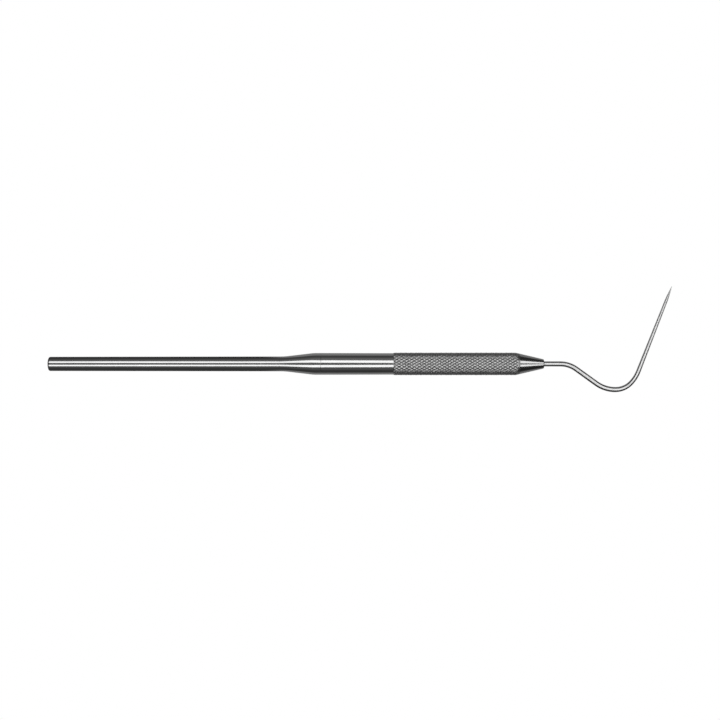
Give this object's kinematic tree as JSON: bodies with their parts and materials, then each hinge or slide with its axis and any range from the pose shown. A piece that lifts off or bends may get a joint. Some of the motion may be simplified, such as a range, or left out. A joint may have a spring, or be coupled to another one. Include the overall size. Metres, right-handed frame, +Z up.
{
  "type": "dental explorer",
  "caption": "Single-ended steel dental probe with a slim round handle, a knurled pencil grip and a thin bent wire ground to a sharp point.",
  "frame": {"origin": "centre of the flat rear face of the handle", "axes": "+X along the handle's axis from the rear face to the nose, +Y towards the side the point turns to, +Z up from the surface that the grip and the point lie on"},
  "size_m": [0.1661, 0.0283, 0.006],
  "materials": {
    "handle_steel": "polished lengthwise",
    "grip_steel": "diamond knurled",
    "nose_steel": "fine turned",
    "wire_steel": "polished"
  },
  "bodies": {
    "root": {"rear_end_plug": "handle_steel", "tail_tube": "handle_steel", "shoulder_collar": "handle_steel", "barrel_tube": "handle_steel", "grip_sleeve": "grip_steel", "nose_cone": "nose_steel", "working_end": "wire_steel"}
  },
  "joints": []
}
